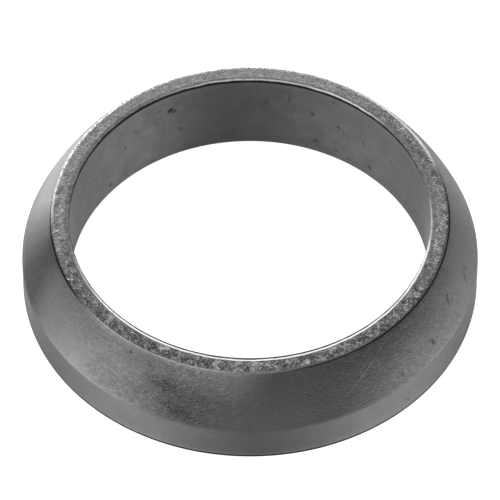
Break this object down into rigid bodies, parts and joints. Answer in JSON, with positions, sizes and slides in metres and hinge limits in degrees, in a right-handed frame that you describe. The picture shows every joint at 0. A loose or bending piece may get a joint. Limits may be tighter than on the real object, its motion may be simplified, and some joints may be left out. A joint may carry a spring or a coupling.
{
  "type": "exhaust ring gasket",
  "caption": "Pressed knitted-wire and graphite ring gasket with a convex ball seat, a flat base and a plain bore that slides over an exhaust pipe.",
  "frame": {"origin": "centre of the flat base, on the ring's axis", "axes": "+Z along the ring's axis, from the base towards the nose; X and Y are free, because the ring is round"},
  "size_m": [0.0724, 0.0724, 0.0152],
  "materials": {
    "graphite_wire": "satin grey, knitted steel wire filled with graphite and pressed"
  },
  "bodies": {
    "root": {"seal_ring": "graphite_wire"}
  },
  "joints": []
}
